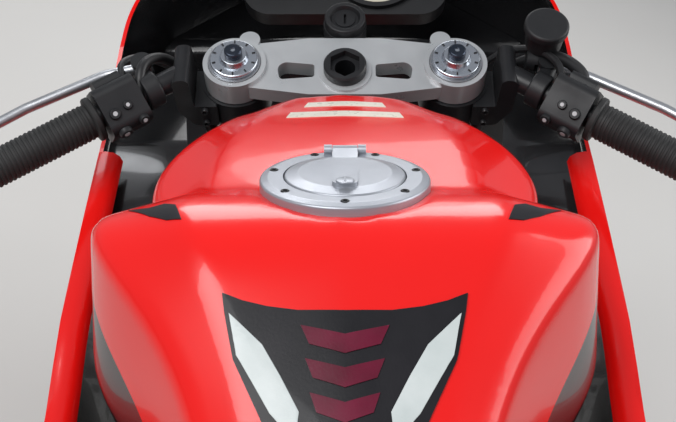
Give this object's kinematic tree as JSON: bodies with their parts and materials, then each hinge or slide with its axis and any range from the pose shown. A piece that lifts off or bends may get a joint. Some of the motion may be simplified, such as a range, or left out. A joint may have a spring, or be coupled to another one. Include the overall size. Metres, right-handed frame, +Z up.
{
  "type": "sport bike",
  "caption": "Full-faired sport bike parked on its side stand, with turning wheels, steering, folding stand and hinged fuel cap.",
  "frame": {"origin": "on the floor under the middle of the whole bike, as it leans on its side stand", "axes": "+X to the front of the bike, +Y to its left, the side it leans to, +Z up"},
  "size_m": [1.999, 0.7584, 1.0924],
  "materials": {
    "black_metal": "satin",
    "black_plastic": "matte",
    "cap_silver": "satin",
    "cast_aluminium": "satin",
    "chain_steel": "oiled",
    "clear_screen": "gloss",
    "disc_steel": "satin",
    "engine_grey": "satin",
    "exhaust_steel": "satin",
    "fork_cap_silver": "satin",
    "fork_metal": "satin",
    "frame_grey": "satin",
    "gloss_black": "gloss",
    "grip_rubber": "matte",
    "lamp_bowl": "polished",
    "lamp_lens": "gloss",
    "radiator_black": "matte",
    "red_lens": "gloss",
    "red_paint": "gloss",
    "red_plastic": "gloss",
    "seat_cover": "matte",
    "silencer_metal": "satin",
    "tyre_rubber": "matte",
    "wheel_paint": "gloss",
    "yoke_silver": "satin"
  },
  "bodies": {
    "chassis": {"main_frame": "frame_grey", "subframe": "black_metal", "swingarm": "frame_grey", "rear_shock": "black_metal", "engine": "engine_grey", "radiator": "radiator_black", "exhaust_headers": "exhaust_steel", "silencer": "silencer_metal", "drive_chain": "chain_steel", "footrests": "cast_aluminium", "fuel_tank": "red_paint", "fuel_cap_ring": "cap_silver", "rider_seat": "seat_cover", "pillion_seat": "seat_cover", "tail_cowl": "red_plastic", "tail_light": "red_lens", "plate_carrier": "black_plastic", "nose_cowl": "red_plastic", "windscreen": "clear_screen", "side_fairing_left": "red_plastic", "side_fairing_right": "red_plastic", "belly_pan": "red_plastic", "inner_panels": "gloss_black", "headlights": "lamp_bowl", "headlight_lenses": "lamp_lens", "instrument_panel": "black_plastic", "fairing_stay": "black_metal", "mirrors": "black_plastic"},
    "steering": {"top_yoke": "yoke_silver", "lower_yoke": "yoke_silver", "fork_tubes": "fork_metal", "fork_caps": "fork_cap_silver", "fork_feet": "fork_metal", "front_calipers": "black_metal", "front_mudguard": "red_plastic", "clip_ons": "black_metal", "grips": "grip_rubber", "bar_controls": "black_plastic", "hand_levers": "cast_aluminium", "ignition_lock": "black_plastic"},
    "front_wheel": {"front_rim": "wheel_paint", "front_tyre": "tyre_rubber", "front_discs": "disc_steel"},
    "rear_wheel": {"rear_rim": "wheel_paint", "rear_tyre": "tyre_rubber", "rear_disc": "disc_steel", "rear_sprocket": "disc_steel"},
    "fuel_lid": {"fuel_cap_lid": "cap_silver"},
    "side_stand": {"side_stand": "black_metal"}
  },
  "joints": [
    {"name": "steering_turn", "type": "hinge", "parent": "chassis", "child": "steering", "pos_m": [0.47943, -0.01861, 0.76225], "axis": [-0.4067, 0.1743, 0.8968], "range_deg": [-24, 24]},
    {"name": "front_wheel_spin", "type": "hinge", "parent": "steering", "child": "front_wheel", "pos_m": [0.6995, -0.10932, 0.29563], "axis": [0, 0.9816, -0.1908], "continuous": true},
    {"name": "rear_wheel_spin", "type": "hinge", "parent": "chassis", "child": "rear_wheel", "pos_m": [-0.6755, -0.10689, 0.30811], "axis": [0, 0.9816, -0.1908], "continuous": true},
    {"name": "fuel_lid_hinge", "type": "hinge", "parent": "chassis", "child": "fuel_lid", "pos_m": [0.22353, 0.00586, 0.88816], "axis": [0, 0.9816, -0.1908], "range_deg": [0, 95]},
    {"name": "side_stand_fold", "type": "hinge", "parent": "chassis", "child": "side_stand", "pos_m": [-0.0415, 0.02129, 0.25479], "axis": [0.0315, 0.9566, 0.2896], "range_deg": [0, 91.83]}
  ]
}
